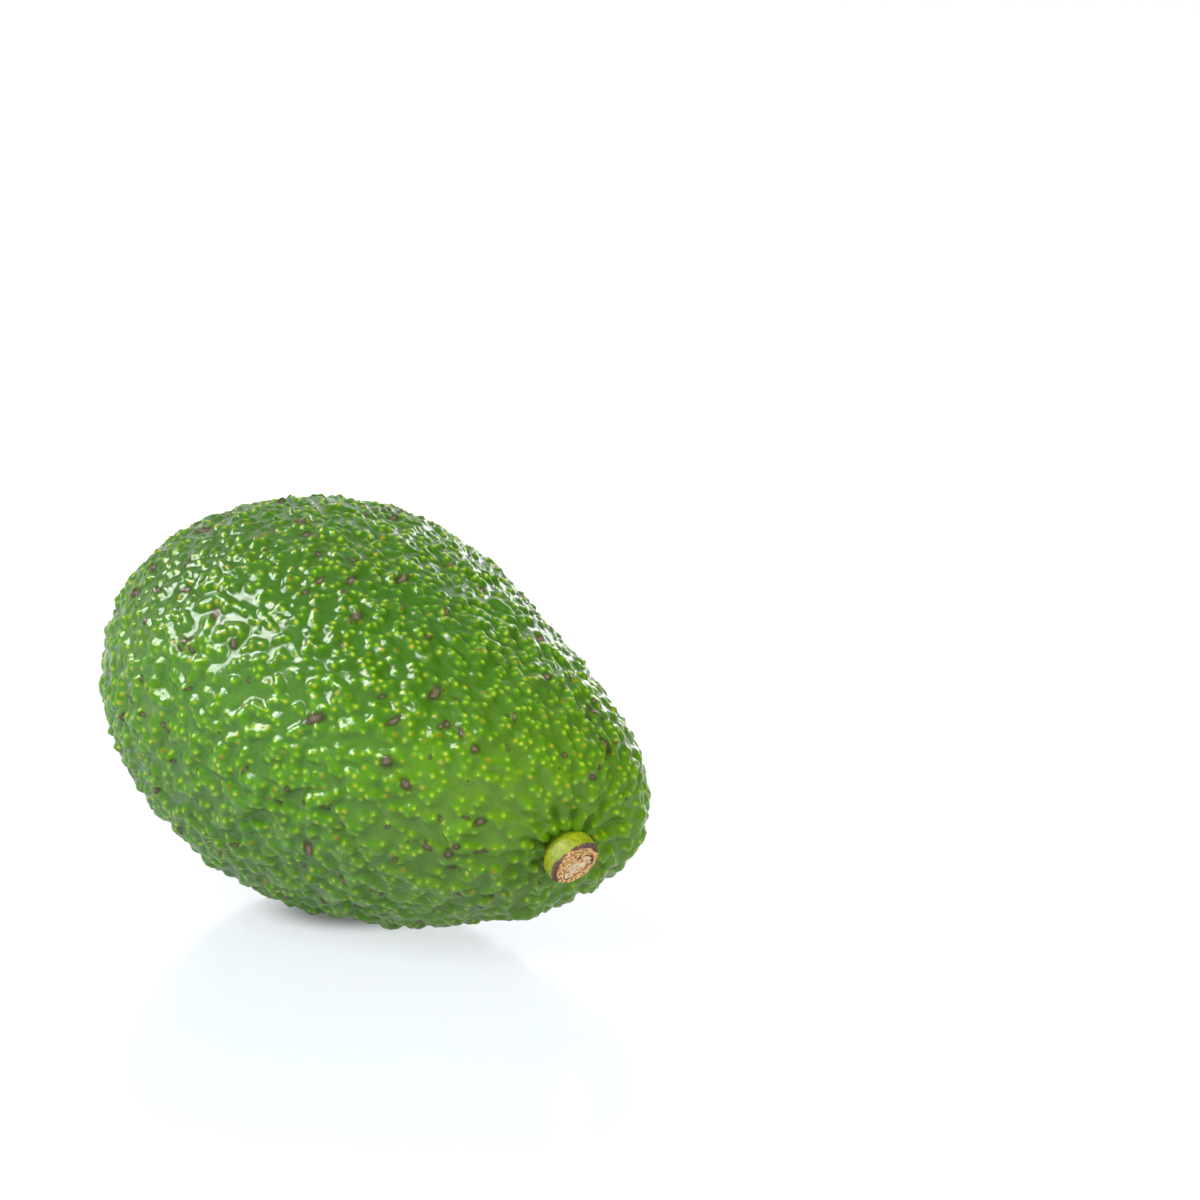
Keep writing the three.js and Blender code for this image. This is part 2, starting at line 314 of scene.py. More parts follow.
# %% [markdown]
# The body's shape
#
# The fruit is a slim egg, blunt at the blossom end and narrower at the stem end, a little flattened,
# with three faint lobes and a slight sway. It could be sculpted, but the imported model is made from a
# formula, and the skin has to lie where that model's does. So the same formula is written here, on
# whole arrays of points at once. It works in millimetres in the fruit's own frame, where X is the
# long axis, and the last step tilts it and lays it on the table.

# %% Write the body's formula
HALF_LENGTH = 50.0
GIRTH_RADIUS = 32.0
TAPER = 0.312
SHOULDER = 0.197
FLATNESS = 0.059
FLAT_TURN = math.radians(-13)
LOBE = 0.037
LOBE_TURN = math.radians(35)
BOW = -1.7
SWAY = -6.9
TILT = math.radians(10.3)
REST_CUT = 0.8
POLE_STEP = 1e-3


def girth(u):
    return GIRTH_RADIUS * np.sqrt(np.maximum(1 - u * u, 0)) * (1 - TAPER * u + SHOULDER * u**3)


def body_point(polar, turn):
    """Points of the smooth body, at an angle from the stem end and an angle round the long axis."""
    u, fullness = np.cos(polar), np.sin(polar)
    flat = FLATNESS * np.cos(2 * (turn - FLAT_TURN))
    lobes = LOBE * fullness * np.cos(3 * (turn - LOBE_TURN))
    taper = 1 - TAPER * u + SHOULDER * u**3
    radius = GIRTH_RADIUS * fullness * taper * (1 + flat + lobes)
    aside = (BOW + SWAY * u) * fullness**2
    return np.stack([HALF_LENGTH * u, radius * np.cos(turn) + aside, radius * np.sin(turn)], -1)


def unit(vectors):
    return vectors / np.linalg.norm(vectors, axis=-1, keepdims=True)


def body_normal(polar, turn):
    """Outward normals of the smooth body."""
    safe = np.clip(polar, 2 * POLE_STEP, math.pi - 2 * POLE_STEP)
    along = body_point(safe + POLE_STEP, turn) - body_point(safe - POLE_STEP, turn)
    across = body_point(safe, turn + POLE_STEP) - body_point(safe, turn - POLE_STEP)
    return unit(np.cross(along, across))


def lying_height(points):
    return points[..., 2] * math.cos(TILT) - points[..., 0] * math.sin(TILT)


def lay_down(points, centre, table_height):
    """From the fruit's own frame in millimetres to where it lies, in metres."""
    x, y, z = points.T
    level = x * math.cos(TILT) + z * math.sin(TILT)
    return np.stack([level - centre[0], y - centre[1], lying_height(points) - table_height], -1) * MM


print("length", 2 * HALF_LENGTH, "mm, girth", 2 * GIRTH_RADIUS, "mm")

# %% [markdown]
# An even net of triangles
#
# The skin needs the same fine net everywhere. A sphere of rings would crowd its triangles at the two
# ends. A geodesic ball, made by splitting each face of an icosahedron, is even all over, so the
# skin starts as one.

# %% Make a geodesic ball
SPLITS = 99
BALL_TURN = 0.3  # radians


def icosahedron():
    golden = (1 + math.sqrt(5)) / 2
    corners = [(0, a, b * golden) for a in (-1, 1) for b in (-1, 1)]
    corners = [tuple(np.roll(c, k)) for k in range(3) for c in corners]
    corners = unit(np.array(corners, float))
    near = 1.1 * 2 / math.sqrt(1 + golden**2)
    faces = []
    for a in range(12):
        for b in range(a + 1, 12):
            for c in range(b + 1, 12):
                p, q, r = corners[[a, b, c]]
                if max(np.linalg.norm(p - q), np.linalg.norm(q - r), np.linalg.norm(r - p)) < near:
                    outward = np.dot(np.cross(q - p, r - p), p) > 0
                    faces.append((a, b, c) if outward else (a, c, b))
    return corners, faces


def geodesic(splits):
    """Points on a unit ball and triangles between them, from an icosahedron with split faces."""
    corners, faces = icosahedron()
    rows = [(i, j) for i in range(splits + 1) for j in range(splits + 1 - i)]
    place = {row: k for k, row in enumerate(rows)}
    weights = np.array([(splits - i - j, i, j) for i, j in rows]) / splits
    small = []
    for i, j in rows:
        if i + j < splits:
            small.append((place[i, j], place[i + 1, j], place[i, j + 1]))
        if i + j < splits - 1:
            small.append((place[i + 1, j], place[i + 1, j + 1], place[i, j + 1]))
    small = np.array(small)
    points = np.concatenate([weights @ corners[list(face)] for face in faces])
    triangles = np.concatenate([small + k * len(rows) for k in range(len(faces))])
    _, first, number = np.unique(np.round(points, 6), axis=0, return_index=True, return_inverse=True)
    return unit(points[first]), number.reshape(-1)[triangles]


def turned(points):
    """The ball's points turned a little, so that none lies right on the fruit's long axis."""
    cos, sin = math.cos(BALL_TURN), math.sin(BALL_TURN)
    x, y, z = points.T
    return np.stack([x * cos - z * sin, y, x * sin + z * cos], -1)


ball, triangles = geodesic(SPLITS)
ball = turned(ball)
print("net of", len(ball), "points and", len(triangles), "triangles")

# %% [markdown]
# The net wrapped on the fruit
#
# A ball that is only stretched to the fruit's shape has large triangles in some places and small
# ones in others. Wrapped with equal areas it stays even: a table along the fruit says how much skin
# has been passed, and each point of the ball goes where its share of the ball's own skin is.

# %% Wrap the ball on the fruit
TABLE_STEPS = 4000


def area_tables():
    """The angle from the stem end on the fruit, and on a ball where the same share of skin is passed."""
    polar = np.linspace(0, math.pi, TABLE_STEPS)
    x, r = HALF_LENGTH * np.cos(polar), girth(np.cos(polar))
    arc = np.hypot(np.diff(x), np.diff(r))
    area = np.concatenate([[0], np.cumsum((r[1:] + r[:-1]) / 2 * arc)])
    on_ball = np.arccos(np.clip(1 - 2 * area / area[-1], -1, 1))
    return polar, on_ball, 2 * math.pi * area[-1]


fruit_polar, ball_polar, skin_area = area_tables()


def wrap(points):
    """The two angles on the fruit of points on the ball."""
    on_ball = np.arccos(np.clip(points[:, 0], -1, 1))
    return np.interp(on_ball, ball_polar, fruit_polar), np.arctan2(points[:, 2], points[:, 1])


polar, turn = wrap(ball)
smooth = body_point(polar, turn)
normals = body_normal(polar, turn)


def centre_of_mass(points, faces):
    a, b, c = (points[faces[:, k]] for k in range(3))
    share = np.einsum("ij,ij->i", a, np.cross(b, c))
    return (share[:, None] * (a + b + c)).sum(0) / (4 * share.sum())


centre = centre_of_mass(smooth, triangles)
centre_level = (centre[0] * math.cos(TILT) + centre[2] * math.sin(TILT), centre[1])
table_height = lying_height(smooth).min() + REST_CUT
print("skin of", round(skin_area), "square mm, centre of mass at", centre.round(2))

# %% [markdown]
# Where the stem sits
#
# The stem doesn't stand on the very end. It sits a little to the side, in a small pit, with folds of
# skin that run into it, as on a purse drawn shut. The pit and the folds are written as a depth that
# depends on how far a point is from the stem and on which side of it the point lies.

# %% Sink the pit and the folds
STEM_POLAR = math.radians(18.3)
STEM_TURN = math.radians(201.2)
STEM_POINTS_POLAR = math.radians(22.4)
STEM_POINTS_TURN = math.radians(232)
PIT_DEPTH = 1.1
PIT_RADIUS = 6.5
PLEATS = 13
PLEAT_DEPTH = 0.5
PLEAT_STRAY = 0.7  # how far the folds stray from even places, in radians of a fold's own wave
PLEAT_REACH = 1.7  # how far out the folds run, in pit radii
DEEP_SIDE = math.radians(55)  # the folds are deepest on this side of the stem
DEEPER = 0.5  # share by which they are deeper there

stem_foot = body_point(np.array([STEM_POLAR]), np.array([STEM_TURN]))[0]
stem_axis = np.array([
    math.cos(STEM_POINTS_POLAR),
    math.sin(STEM_POINTS_POLAR) * math.cos(STEM_POINTS_TURN),
    math.sin(STEM_POINTS_POLAR) * math.sin(STEM_POINTS_TURN),
])


def pit_drop(points):
    """How far the skin lies below the smooth body round the stem."""
    offset = points - stem_foot
    distance = np.linalg.norm(offset, axis=1) / PIT_RADIUS
    side = np.arctan2(offset[:, 2], offset[:, 1])
    wave = (1 + np.cos(PLEATS * side + PLEAT_STRAY * np.sin(2 * side))) ** 2 / 2
    depth = PLEAT_DEPTH * (1 + DEEPER * np.cos(side - DEEP_SIDE))
    folds = depth * wave * distance * np.exp(1 - distance) * np.exp(-((distance / PLEAT_REACH) ** 4))
    return PIT_DEPTH * np.exp(-(distance**2)) + folds


print("stem foot at", stem_foot.round(1), "mm along the fruit")

# %% [markdown]
# The pebbles
#
# Real skin of this kind is pebbled twice over. Low lumps cover it, small and close on the top and
# the blossom end, and broad lower down. On them stand several thousand tiny warts, each with a pale
# pore on its tip, and a broad lump carries a few. Noise gives a bumpy surface too, but its bumps
# have no tips to colour, so each lump and each wart is placed one by one: random places are tried
# in turn, and one that is too near to another is left out. Near the stem they stretch towards it.

# %% Find places for lumps
SEED = 11
FINE_LUMPS = 1.4  # least distance between lumps in millimetres, where they are finest
COARSE_LUMPS = 2.9  # and where they are coarsest
GROWN_TOGETHER = 0.4  # share of lumps that have grown together with a neighbour
LUMP_TRIES = 16000  # random places tried
rng = np.random.default_rng(SEED)


def slow_waves(points, count, shortest, longest, seed):
    """Gentle random waves over the fruit, from about -1 to 1, with wavelengths in millimetres."""
    own = np.random.default_rng(seed)
    directions = unit(own.normal(size=(count, 3)))
    lengths = own.uniform(shortest, longest, count)
    starts = own.uniform(0, 2 * math.pi, count)
    phases = points @ (directions / lengths[:, None]).T * 2 * math.pi + starts
    return np.sin(phases).sum(1) * math.sqrt(2 / count) / 1.5


def anywhere(count):
    """Random places on the fruit, as likely on one square millimetre of skin as on another."""
    on_ball = np.arccos(rng.uniform(-1, 1, count))
    polar = np.clip(np.interp(on_ball, ball_polar, fruit_polar), 0.01, math.pi - 0.01)
    turn = rng.uniform(-math.pi, math.pi, count)
    return body_point(polar, turn), body_normal(polar, turn)


def kept_apart(points, spacing):
    """Picks points in turn, and leaves out each one that is too near to one picked before."""
    cells = {}
    picked = []
    size = spacing.max()
    for k, (point, cell) in enumerate(zip(points, np.floor(points / size).astype(int))):
        i, j, l = cell
        around = [n for a in (-1, 0, 1) for b in (-1, 0, 1) for c in (-1, 0, 1)
                  for n in cells.get((i + a, j + b, l + c), ())]
        if around:
            gap = points[around] - point
            if (np.einsum("ij,ij->i", gap, gap) < spacing[k] ** 2).any():
                continue
        picked.append(k)
        cells.setdefault((i, j, l), []).append(k)
    return np.array(picked)


def tree_of(points):
    tree = kdtree.KDTree(len(points))
    for k, point in enumerate(points):
        tree.insert(point, k)
    tree.balance()
    return tree


def nearest(points, tree, count):
    return np.array([[hit[1] for hit in tree.find_n(point, count)] for point in points])


def from_stem(points):
    return np.linalg.norm(points - stem_foot, axis=1)


def coarseness(points, normals):
    """From 0 on the top and the blossom end to 1 on the lower side of the stem's half."""
    share = 0.5 - 0.62 * normals[:, 2] - 0.25 * normals[:, 1] + 0.007 * points[:, 0]
    share += 0.2 * slow_waves(points, 12, 12, 30, 3) - 0.65 * np.exp(-((from_stem(points) / 16) ** 2))
    return np.clip(share, 0, 1)


def stem_pull(points, normals):
    """How much longer than wide a bump is, towards the stem: most on the upper side."""
    upper = np.clip(0.55 + 0.6 * normals[:, 2] + 0.3 * normals[:, 1], 0.2, 1)
    return np.exp(-((from_stem(points) / 30) ** 2)) * upper


def scatter_lumps():
    points, normals = anywhere(LUMP_TRIES)
    coarse = coarseness(points, normals)
    spacing = (FINE_LUMPS + (COARSE_LUMPS - FINE_LUMPS) * coarse) * rng.uniform(0.7, 1.15, len(points))
    picked = kept_apart(points, spacing)
    points, normals, coarse, spacing = points[picked], normals[picked], coarse[picked], spacing[picked]
    count = len(points)
    neighbour = nearest(points, tree_of(points), 4)[np.arange(count), rng.integers(1, 4, count)]
    joined = rng.uniform(size=count) < GROWN_TOGETHER
    near_stem = np.exp(-((from_stem(points) / 13) ** 2))
    return {"point": points, "normal": normals,
            "radius": spacing * rng.uniform(0.55, 0.76, count) * (1 - 0.15 * near_stem),
            "height": rng.uniform(0.36, 0.68, count) * (0.66 + 0.9 * coarse + 0.15 * near_stem),
            "stretch": 1 + 1.4 * stem_pull(points, normals),
            "bridge": (points[neighbour] - points) * joined[:, None]}


lumps = scatter_lumps()
print(len(lumps["point"]), "lumps")

# %% [markdown]
# Raising the skin
#
# Each point of the net looks up the few lumps nearest to it and is lifted by their domes. Where two
# domes meet, the sum would make a peak between them, so they are joined the soft way: what one
# leaves of the way up, the next one takes its share of.

# %% Raise the lumps
NEIGHBOURS = 5
LUMP_TOP = 0.12  # share of a lump's radius over which it is flat


def reach(points, bumps, which):
    """How far points are from chosen bumps, in bump radii, with bumps stretched towards the stem."""
    offset = points - bumps["point"][which]
    bridge = bumps["bridge"][which]
    length = np.maximum(np.einsum("ij,ij->i", bridge, bridge), 1e-9)
    passed = np.clip(np.einsum("ij,ij->i", offset, bridge) / length, 0, 1)
    offset = offset - bridge * passed[:, None]
    outward = bumps["normal"][which]
    towards = stem_foot - bumps["point"][which]
    towards = towards - outward * np.einsum("ij,ij->i", towards, outward)[:, None]
    towards = unit(towards)
    along = np.einsum("ij,ij->i", offset, towards)
    total = np.einsum("ij,ij->i", offset, offset)
    stretch = bumps["stretch"][which]
    squared = np.maximum(total - along**2, 0) + (along / stretch) ** 2
    return np.sqrt(squared) / bumps["radius"][which]


def raised(points, bumps, flat_share):
    """The lift of the soft union of the nearest bumps, in millimetres, each flat in its middle."""
    highest = bumps["height"].max()
    left = np.ones(len(points))
    for column in nearest(points, tree_of(bumps["point"]), NEIGHBOURS).T:
        slope = np.clip((1 - reach(points, bumps, column)) / (1 - flat_share), 0, 1)
        round_top = 0.5 * slope * (2 - slope) + 0.5 * slope * slope * (3 - 2 * slope)
        dome = round_top * bumps["height"][column] / highest
        left *= 1 - dome
    return (1 - left) * highest


lump_lift = raised(smooth, lumps, LUMP_TOP)
print("lumps up to", round(lump_lift.max(), 2), "mm")

# %% [markdown]
# The warts
#
# Each wart is one to two millimetres wide and a few tenths high. A bump in the material could fake
# them, but then they would not show along the fruit's edge, so they are raised in the mesh by the
# same rule as the lumps. They come after the lumps, because most of them are kept only where a lump
# lifts the skin.

# %% Raise the warts
WART_SPACING = 0.86
WART_TRIES = 26000
WART_FLOOR = 0.3  # a wart stands where lumps lift the skin by this share of their mean height
LONE_WARTS = 0.02  # share of other places where one is kept
BARE_ROUND_STEM = 4.2  # no warts within this distance of the stem's foot, in millimetres


def scatter_warts():
    points, normals = anywhere(WART_TRIES)
    lifted = raised(points, lumps, LUMP_TOP) > WART_FLOOR * lumps["height"].mean()
    lone = rng.uniform(size=len(points)) < LONE_WARTS
    keep = (lifted | lone) & (from_stem(points) > BARE_ROUND_STEM)
    points, normals = points[keep], normals[keep]
    coarse = coarseness(points, normals)
    picked = kept_apart(points, WART_SPACING * rng.uniform(0.85, 1.4, len(points)) * (1 + 0.2 * coarse))
    points, normals, coarse = points[picked], normals[picked], coarse[picked]
    count = len(points)
    return {"point": points, "normal": normals,
            "radius": rng.uniform(0.5, 0.75, count) * (1 + 0.2 * coarse),
            "height": rng.uniform(0.12, 0.3, count),
            "stretch": 1 + 1.2 * stem_pull(points, normals),
            "bridge": np.zeros((count, 3))}


warts = scatter_warts()
wart_lift = raised(smooth, warts, 0)
print(len(warts["point"]), "warts, up to", round(wart_lift.max(), 2), "mm")

# %% [markdown]
# The skin's shape
#
# Slow swellings and small creases are added to the lumps and the warts, so that the skin between
# them isn't as smooth as an egg's. The whole relief is a distance along the body's own normals. It
# sinks into the pit round the stem and fades out towards the spot that the fruit rests on.

# %% Shape the skin
SKIN_LEVEL = -0.53  # where the skin lies between the lumps, from the smooth body
UNDULATION = 0.22  # height of the slow swellings
CREASING = 0.06  # and of the shorter creases on them


def shape_skin():
    """The skin's points where they lie, in metres, pressed flat on the table."""
    clear = np.clip((lying_height(smooth) - table_height) / (2 * REST_CUT), 0, 1)
    rolling = UNDULATION * slow_waves(smooth, 24, 5, 13, 5) + CREASING * slow_waves(smooth, 24, 2.2, 4, 6)
    lift = (SKIN_LEVEL + wart_lift + lump_lift + rolling) * clear - pit_drop(smooth)
    points = lay_down(smooth + normals * lift[:, None], centre_level, table_height)
    points[:, 2] = np.maximum(points[:, 2], 0)
    return points


skin_points = shape_skin()
print("skin from", (skin_points.min(0) / MM).round(1), "to", (skin_points.max(0) / MM).round(1), "mm")

# %% [markdown]
# Marks that stay crisp
#
# The pores on the warts are finer than the net, so their colour can't be stored at its points. What
# can be stored is where each corner of a triangle lies from the nearest wart's tip. Between corners
# that vector changes evenly, so the shader can work out a sharp round pore from its length. Scars
# are stored in the same way, from the middle of the nearest scar and in shares of its size.

# %% Scatter the scars
SCARS = 340
SCAR_FREE = 7  # none within this distance of the stem's foot, in millimetres


def scatter_scars():
    """Old scars: brown corky spots and short streaks, spread evenly over the fruit."""
    points, normals = anywhere(SCARS)
    keep = from_stem(points) > SCAR_FREE
    points, normals = points[keep], normals[keep]
    count = len(points)
    long_way = unit(np.cross(normals, rng.normal(size=(count, 3))))
    radius = 0.26 + 0.6 * rng.uniform(0, 1, count) ** 2.5
    return {"point": points, "normal": normals, "radius": radius, "long_way": long_way,
            "stretch": rng.uniform(1.0, 2.6, count)}


scars = scatter_scars()
print(len(scars["point"]), "scars")

# %% [markdown]
# The skin's mesh
#
# A mesh of this size takes long to build face by face. Blender also takes whole arrays at once, so
# the points and the triangles are handed over that way. The marks are stored on the mesh under
# names, and the material reads them by those names.

# %% Build the skin's mesh


def corner_offsets(points, faces, marks):
    """For each corner, where it lies from the mark nearest to its triangle, and that mark's number."""
    middles = points[faces].mean(1)
    mark = nearest(middles, tree_of(marks["point"]), 1)[:, 0]
    return points[faces] - marks["point"][mark][:, None, :], mark


def store(mesh, name, kind, domain, values):
    field = "vector" if kind == "FLOAT_VECTOR" else "value"
    attribute = mesh.attributes.new(name, kind, domain)
    attribute.data.foreach_set(field, np.ascontiguousarray(values, np.float32).ravel())


def build_skin():
    mesh = bpy.data.meshes.new("skin")
    mesh.vertices.add(len(skin_points))
    mesh.vertices.foreach_set("co", skin_points.astype(np.float32).ravel())
    mesh.loops.add(triangles.size)
    mesh.loops.foreach_set("vertex_index", triangles.astype(np.int32).ravel())
    mesh.polygons.add(len(triangles))
    mesh.polygons.foreach_set("loop_start", np.arange(0, triangles.size, 3, dtype=np.int32))
    mesh.update(calc_edges=True)
    mesh.validate()
    mesh.shade_smooth()
    return mesh


def store_marks(mesh):
    offset, wart = corner_offsets(smooth, triangles, warts)
    store(mesh, "pore_offset", "FLOAT_VECTOR", "CORNER", offset)
    count = len(warts["point"])
    number = rng.permutation(count)[wart] / count
    store(mesh, "wart_number", "FLOAT", "CORNER", np.repeat(number, 3))
    offset, scar = corner_offsets(smooth, triangles, scars)
    long_way = scars["long_way"][scar]
    along = np.einsum("fci,fi->fc", offset, long_way)
    rest = offset - along[:, :, None] * long_way[:, None, :]
    shortened = (along / scars["stretch"][scar][:, None])[:, :, None] * long_way[:, None, :]
    in_radii = (rest + shortened) / scars["radius"][scar][:, None, None]
    store(mesh, "scar_offset", "FLOAT_VECTOR", "CORNER", in_radii)
    store(mesh, "wart_lift", "FLOAT", "POINT", wart_lift / wart_lift.max())
    store(mesh, "lump_lift", "FLOAT", "POINT", lump_lift / lump_lift.max())
    store(mesh, "stem_distance", "FLOAT", "POINT", from_stem(smooth))
    store(mesh, "facing_up", "FLOAT", "POINT", normals[:, 2])


skin_mesh = build_skin()
store_marks(skin_mesh)
fruit = bpy.data.objects.new("avocado_skin", skin_mesh)
bpy.context.scene.collection.objects.link(fruit)
print("skin mesh has", len(skin_mesh.polygons), "triangles")

# %% [markdown]
# The skin's finish
#
# Between the warts the skin is a cool, waxy green. It turns to a strong yellow green up the side of
# each wart, and the tip has a pale yellow pore, now and then an orange or brown one. The upper side
# is deeper green, and the skin yellows towards the stem. Scars are dark at the edge and cracked with
# pale lines inside. The colours are mixed from those masks. The gloss varies in slow patches, as the
# wax does. A fine bump breaks the highlights up, and a small dome in it rounds each wart's tip.

# %% Make the skin's material


def skin_material():
    material, shader, tree = new_material("pebbled skin")
    pore = tree.node("VectorMath", {"operation": "LENGTH"},
                     {0: tree.attribute("pore_offset", "Vector")}, output="Value")
    number = tree.attribute("wart_number")
    wart = tree.attribute("wart_lift")
    lump = tree.attribute("lump_lift")
    stem_distance = tree.attribute("stem_distance")
    facing_up = tree.attribute("facing_up")
    own_size = tree.maths("FRACT", number * 37)
    slow = tree.noise(60, 4)
    mottled = tree.noise(420, 4, 0.6)
    torn = tree.noise(900, 3, 0.6)
    fine = tree.noise(1800, 3, 0.6)

    valley = tree.mix(paint(72, 121, 34), paint(86, 134, 44), slow.ease(0.35, 0.65))
    flank = tree.mix(paint(66, 128, 0), paint(92, 148, 0), mottled.ease(0.35, 0.65))
    rise = (lump * 0.9 + wart * 0.3 + (mottled - 0.5) * 0.5).ease(0.18, 0.6)
    colour = tree.mix(valley, flank, rise)
    yellowing = (stem_distance + (slow - 0.5) * 30).ease(46, 5)
    colour = tree.mix(colour, paint(112, 150, 20), yellowing * 0.45)
    deeper = (facing_up + (slow - 0.5) * 0.6).ease(0.25, 0.8) * (1 - yellowing * 0.7)
    colour = tree.mix(colour, paint(50, 96, 6), deeper * 0.72)

    ragged = pore + (fine - 0.5) * 0.25
    halo = ragged.ease(0.8, 0.25)
    colour = tree.mix(colour, paint(104, 164, 0), halo * 0.75)
    colour = tree.mix(colour, paint(62, 112, 0), deeper * 0.3)
    tip = (ragged / (0.55 + 0.6 * own_size)).ease(0.42, 0.08)
    pore_colour = tree.node("ValToRGB", {"stops": [
        (0.0, paint(196, 206, 70)),
        (0.6, paint(158, 186, 34)),
        (0.8, paint(196, 168, 50)),
        (0.92, paint(160, 96, 40)),
        (0.97, paint(80, 50, 34)),
    ]}, {"Fac": number})
    colour = tree.mix(colour, pore_colour, tip * 0.85)

    scar_reach = tree.node("VectorMath", {"operation": "LENGTH"},
                           {0: tree.attribute("scar_offset", "Vector")}, output="Value")
    scar_edge = scar_reach + (torn - 0.5) * 2.4 + (fine - 0.5) * 1.0
    scar = scar_edge.ease(1.0, 0.75)
    cracks = tree.node("TexVoronoi", {"feature": "DISTANCE_TO_EDGE"}, {"Scale": 1000.0}, output="Distance")
    cork = tree.mix(paint(66, 46, 26), paint(86, 72, 56), torn.ease(0.42, 0.6))
    cork = tree.mix(paint(198, 182, 152), cork, cracks.ease(0.02, 0.12))
    cork = tree.mix(cork, paint(40, 27, 11), scar_edge.ease(0.3, 0.72))
    rim = scar_edge.ease(1.5, 1.0)
    colour = tree.mix(colour, paint(70, 84, 20), rim * 0.5)
    colour = tree.mix(colour, cork, scar)

    tree.feed(shader.inputs["Base Color"], colour)
    wax = (slow * 0.6 + mottled * 0.4).ease(0.4, 0.62)
    tree.feed(shader.inputs["Roughness"], 0.3 + 0.12 * wax + 0.3 * scar)
    shader.inputs["Specular IOR Level"].default_value = 0.1
    tree.feed(shader.inputs["Coat Weight"], 0.75 - 0.3 * wax - 0.4 * scar)
    shader.inputs["Coat Roughness"].default_value = 0.15
    dome = pore.ease(0.72, 0.0)
    relief = (fine - 0.5) * 0.4 + (torn - 0.5) * 1.6 + (mottled - 0.5) * 0.9 + dome * 3.2
    relief = relief + scar * (cracks.ease(0.0, 0.2) - 0.3)
    bump = tree.node("Bump", {}, {"Strength": 0.6, "Distance": 0.14 * MM, "Height": relief})
    tree.feed(shader.inputs["Normal"], bump)
    return material


skin_mesh.materials.append(skin_material())
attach(fruit, "root")
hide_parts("fruit")
print("skin finished")

# %% [markdown]
# The stem's button
#
# What is left of the stem is a short, leaning button: a smooth olive collar with a rounded shoulder,
# and a slanted woody face where it was cut, with a dark rind, a fibrous ring and a pale core. It is
# turned like a small vase, ring by ring, and then pushed out of round.

# %% Shape the stem
STEM_RADIUS = 4.0
STEM_RISE = 2.8
STEM_ROOT = 5.5
STEM_SLANT = 0.06
STEM_LOW_SIDE = np.array([0, 1, -1])
STEM_OVAL = 0.05
STEM_DENT = 0.12
DENT_WIDTH = 0.6  # half the width of the dent, in radians round the stem
STEM_NECK = 0.68  # radius of the root, as a share of the button's
STEM_SIDES = 144
STEM_RINGS = 110


def stem_outline():
    """Radius and height of the stem's side, from its root's tip up to the middle of its cut face."""
    neck = STEM_RADIUS * STEM_NECK
    points = np.array([
        (0.02, -STEM_ROOT), (neck * 0.6, -STEM_ROOT + 0.6), (neck, -STEM_ROOT * 0.5),
        (neck * 1.12, -PIT_DEPTH - 0.4), (STEM_RADIUS * 0.9, -PIT_DEPTH + 0.5), (STEM_RADIUS * 0.99, 0.2),
        (STEM_RADIUS * 0.99, STEM_RISE * 0.55), (STEM_RADIUS * 0.95, STEM_RISE * 0.85),
        (STEM_RADIUS * 0.88, STEM_RISE * 0.98), (STEM_RADIUS * 0.78, STEM_RISE * 0.97),
        (STEM_RADIUS * 0.6, STEM_RISE * 0.9), (STEM_RADIUS * 0.4, STEM_RISE * 0.95),
        (STEM_RADIUS * 0.2, STEM_RISE * 0.92), (0.02, STEM_RISE * 0.92),
    ])
    run = np.concatenate([[0], np.cumsum(np.linalg.norm(np.diff(points, axis=0), axis=1))])
    even = np.linspace(0, run[-1], STEM_RINGS)
    return np.interp(even, run, points[:, 0]), np.interp(even, run, points[:, 1])


def soften(values, times):
    """Rounds the corners of an outline, with its two ends kept."""
    for _ in range(times):
        values[1:-1] = (values[:-2] + 2 * values[1:-1] + values[2:]) / 4
    return values


def stem_points():
    """The stem's points in its own frame, in millimetres: Z points out of the fruit, X to its low side."""
    radius, height = stem_outline()
    radius, height = soften(radius, 3), soften(height, 3)
    side = np.linspace(0, 2 * math.pi, STEM_SIDES, endpoint=False)
    r, a = np.meshgrid(radius, side, indexing="ij")
    z = np.repeat(height[:, None], STEM_SIDES, 1)
    out_of_round = 0.985 + 0.012 * np.sin(3 * a + 1) + 0.008 * np.sin(7 * a)
    x, y = r * np.cos(a) * out_of_round, r * np.sin(a) * out_of_round
    above = np.clip(z / STEM_RISE, 0, 1)
    share = above * above * (3 - 2 * above)
    oval = np.clip((z + PIT_DEPTH) / PIT_DEPTH, 0, 1) * STEM_OVAL
    width = 1 - STEM_DENT * share * np.exp(-((np.arctan2(y, -x) / DENT_WIDTH) ** 2))
    x, y = x * (1 - oval) * width, y * (1 + oval) * width
    points = np.stack([x, y, z - STEM_SLANT * x * share], -1).reshape(-1, 3)
    face = np.clip((0.9 * STEM_RADIUS - r) / 0.5, 0, 1) * (z > 0.8 * STEM_RISE)
    points[:, 2] += 0.1 * (slow_waves(points, 30, 0.7, 1.8, 8) - 1.2) * face.reshape(-1)
    return points


def stem_faces():
    faces = []
    for i in range(STEM_RINGS - 1):
        for k in range(STEM_SIDES):
            n = (k + 1) % STEM_SIDES
            low, high = i * STEM_SIDES, (i + 1) * STEM_SIDES
            faces.append((low + k, low + n, high + n, high + k))
    faces.append(tuple(range(STEM_SIDES - 1, -1, -1)))
    faces.append(tuple(range((STEM_RINGS - 1) * STEM_SIDES, STEM_RINGS * STEM_SIDES)))
    return faces


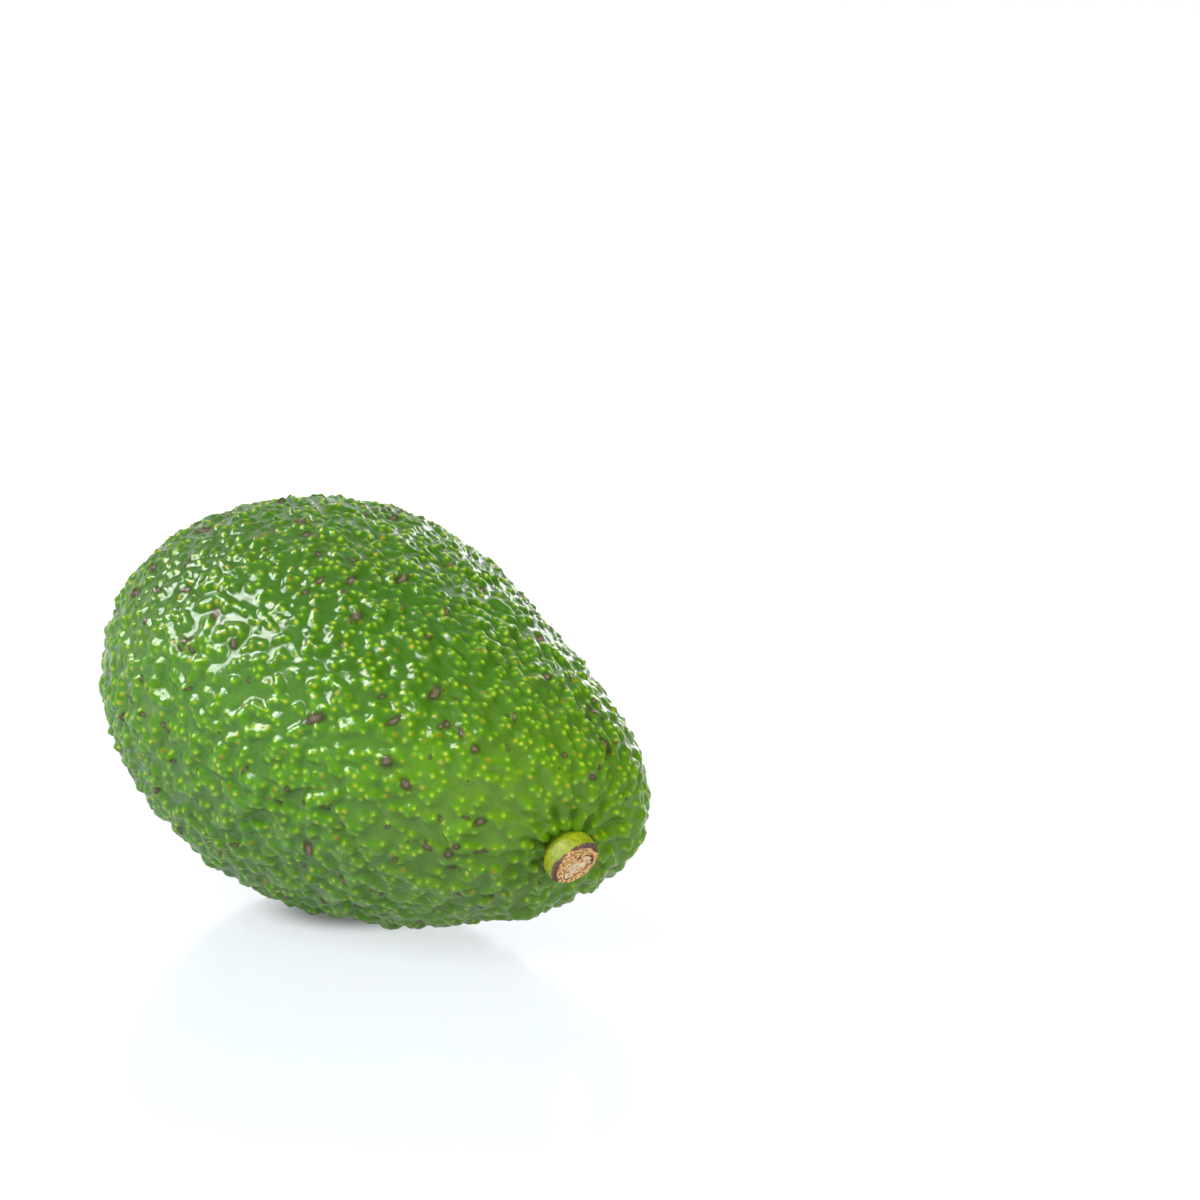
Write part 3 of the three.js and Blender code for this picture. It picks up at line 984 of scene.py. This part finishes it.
def build_stem():
    own = stem_points()
    across = unit(np.cross(stem_axis, STEM_LOW_SIDE))
    low_side = np.cross(across, stem_axis)
    placed = own @ np.stack([low_side, across, stem_axis]) + stem_foot
    mesh = bpy.data.meshes.new("stem")
    mesh.from_pydata(lay_down(placed, centre_level, table_height).tolist(), [], stem_faces())
    mesh.update()
    mesh.shade_smooth()
    store(mesh, "stem_place", "FLOAT_VECTOR", "POINT", own)
    stem = bpy.data.objects.new("stem_button", mesh)
    bpy.context.scene.collection.objects.link(stem)
    return stem


stem = build_stem()
print("stem has", len(stem.data.polygons), "faces")

# %% [markdown]
# The stem's finish
#
# The stem's own radius and height were stored on its mesh, so its colours follow its rings: olive on
# the collar, purple brown rind round the cut's high side, orange fibres inside that, and a pale core
# with a dark line round it. Where it sinks into the pit it is painted darker, as shade. Noise bends
# the rings and roughens the wood.

# %% Make the stem's material


def stem_material():
    material, shader, tree = new_material("stem and cut wood")
    place = tree.attribute("stem_place", "Vector")
    parts = material.node_tree.nodes.new("ShaderNodeSeparateXYZ")
    tree.feed(parts.inputs[0], place)
    x, y, z = (Socket(material.node_tree, parts.outputs[k]) for k in range(3))
    wobble = tree.noise(0.7, 3, 0.6, place) - 0.5
    grain = tree.noise(4.5, 5, 0.7, place)
    spots = tree.noise(1.6, 3, 0.6, place)
    speckle = tree.noise(2.8, 2, 0.5, place)

    collar = tree.mix(paint(112, 134, 4), paint(152, 160, 14), (grain * 0.5 + spots * 0.5).ease(0.4, 0.6))
    collar = tree.mix(collar, paint(196, 186, 90), (spots + grain * 0.6).ease(0.92, 1.1) * 0.5)
    rind = tree.mix(paint(84, 54, 50), paint(128, 100, 94), grain.ease(0.4, 0.6))
    fibre = tree.mix(paint(184, 104, 34), paint(255, 216, 150), speckle.ease(0.38, 0.56))
    core = tree.mix(paint(255, 236, 200), paint(224, 146, 72), (speckle * 0.2 + spots * 0.8).ease(0.47, 0.56))

    core_x, core_y = (x - 0.95) / 1.75, y / 2.9
    core_reach = (core_x * core_x + core_y * core_y)**0.5 + wobble * 0.5
    wood = tree.mix(core, paint(122, 72, 34), core_reach.ease(0.78, 0.84))
    wood = tree.mix(wood, fibre, core_reach.ease(0.87, 0.94))
    radius = (x * x + y * y * 0.9)**0.5 / STEM_RADIUS + wobble * 0.16
    no_rind = (x / STEM_RADIUS).ease(-0.1, 0.75) * 0.35
    cut = tree.mix(wood, rind, (radius - no_rind).ease(0.75, 0.8))
    above = (z + wobble * 0.9 + x * 0.05).ease(STEM_RISE * 0.74, STEM_RISE * 0.82)
    colour = tree.mix(collar, cut, above)
    # painted shade: the stem is darker olive where it sinks into the pit
    colour = tree.mix(paint(60, 80, 12), colour, z.ease(-PIT_DEPTH, 0.3))
    tree.feed(shader.inputs["Base Color"], colour)
    tree.feed(shader.inputs["Roughness"], 0.34 + 0.45 * above)
    relief = (grain - 0.5) * (0.2 + above * 1.2) + wobble * 0.5
    bump = tree.node("Bump", {}, {"Strength": 0.8, "Distance": 0.4 * MM, "Height": relief})
    tree.feed(shader.inputs["Normal"], bump)
    return material


stem.data.materials.append(stem_material())
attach(stem, "root")
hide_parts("stem")
print("stem finished")

# %% [markdown]
# The finished fruit has to fit in the box of the imported model.

# The end
#

# %% Finish
print("done")
